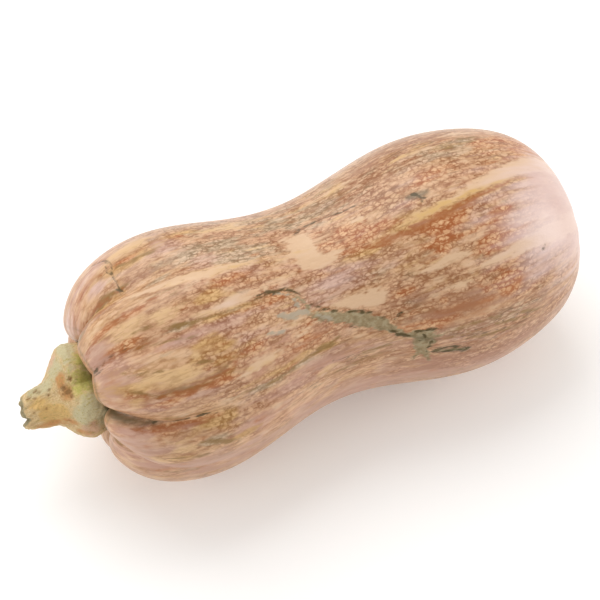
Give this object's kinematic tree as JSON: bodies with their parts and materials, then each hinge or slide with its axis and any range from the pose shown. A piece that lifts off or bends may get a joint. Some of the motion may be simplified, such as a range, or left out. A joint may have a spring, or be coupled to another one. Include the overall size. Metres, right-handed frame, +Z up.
{
  "type": "butternut squash",
  "caption": "Waisted butternut squash lying on its side, ribbed at the shoulder, with a dry flared stem and a netted, streaked tan skin.",
  "frame": {"origin": "middle of the footprint of the whole object, on the table it lies on", "axes": "+X along the fruit from the stem to the blossom end, +Z up from the table, -Y the side seen first"},
  "size_m": [0.2832, 0.1168, 0.1182],
  "materials": {
    "skin": "waxy, satin, netted and streaked",
    "stem": "dry, matt, corky"
  },
  "bodies": {
    "root": {"fruit": "skin", "stem": "stem"}
  },
  "joints": []
}
